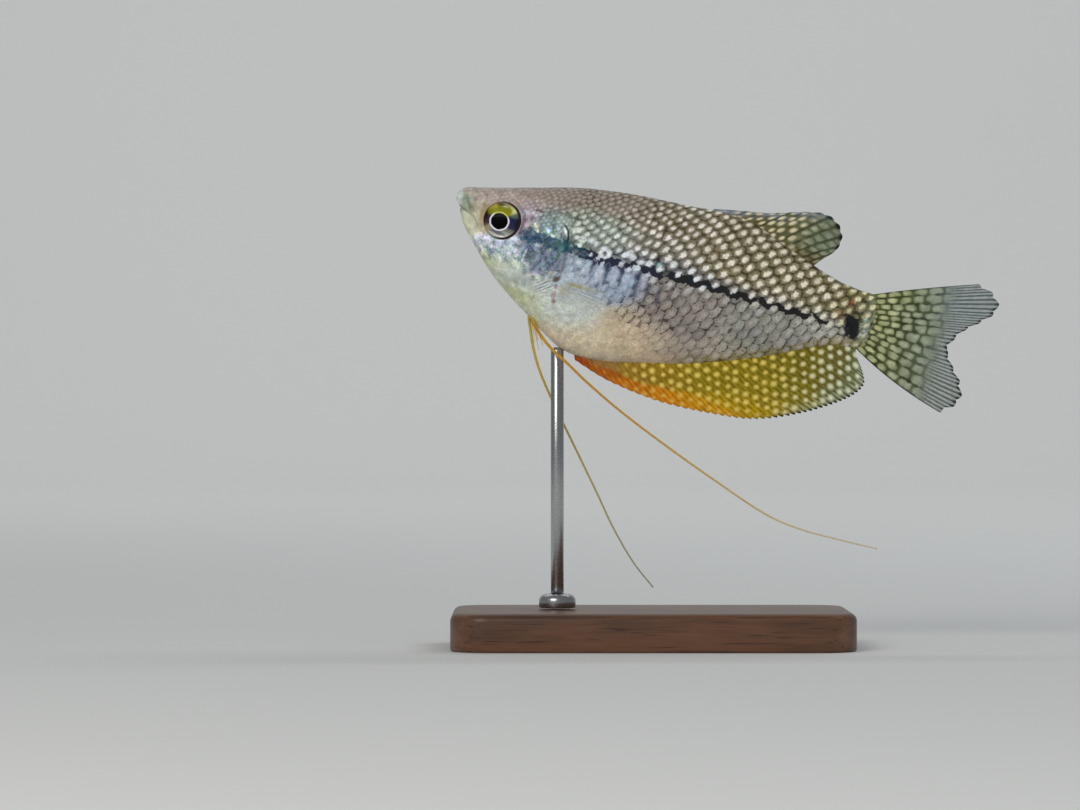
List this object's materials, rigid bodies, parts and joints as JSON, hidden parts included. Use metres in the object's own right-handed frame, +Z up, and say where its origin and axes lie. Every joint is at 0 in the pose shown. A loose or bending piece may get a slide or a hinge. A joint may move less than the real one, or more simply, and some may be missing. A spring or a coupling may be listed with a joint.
{
  "type": "pearl gourami, life-size display model",
  "caption": "Still life-size model of a pearl gourami swimming slightly nose-up, with spread fins and long trailing feelers, held by a rod on a flat display base.",
  "frame": {"origin": "centre of the underside of the stand's base", "axes": "+Z up, +X from the fish's head towards its tail along the base's long side, -Y out of the fish's left side"},
  "size_m": [0.1013, 0.044, 0.0853],
  "materials": {
    "head_skin": "painted and varnished smooth skin, silvery cheek and olive brow",
    "scaled_skin": "painted and varnished small scales, pearl spots over a dark net",
    "eye": "polished glass eye, black pupil in a pale ring and an olive-gold iris",
    "clear_fin": "thin translucent fin web with dark rays and pale spots",
    "amber_fin": "thin amber to orange fin web with pearl spots",
    "feeler": "thin smooth ray, orange at the root and pale at the tip",
    "walnut": "oiled walnut with eased edges",
    "steel": "finely ground stainless steel"
  },
  "bodies": {
    "root": {"head": "head_skin", "gill_cover_left": "head_skin", "gill_cover_right": "head_skin", "eye_left": "eye", "eye_right": "eye", "trunk": "scaled_skin", "tail_stalk": "scaled_skin", "dorsal_fin": "clear_fin", "tail_fin": "clear_fin", "anal_fin": "amber_fin", "pectoral_fin_left": "clear_fin", "pectoral_fin_right": "clear_fin", "pelvic_fin_left": "feeler", "pelvic_fin_right": "feeler", "stand_base": "walnut", "stand_rod": "steel", "stand_collar": "steel"}
  },
  "joints": []
}
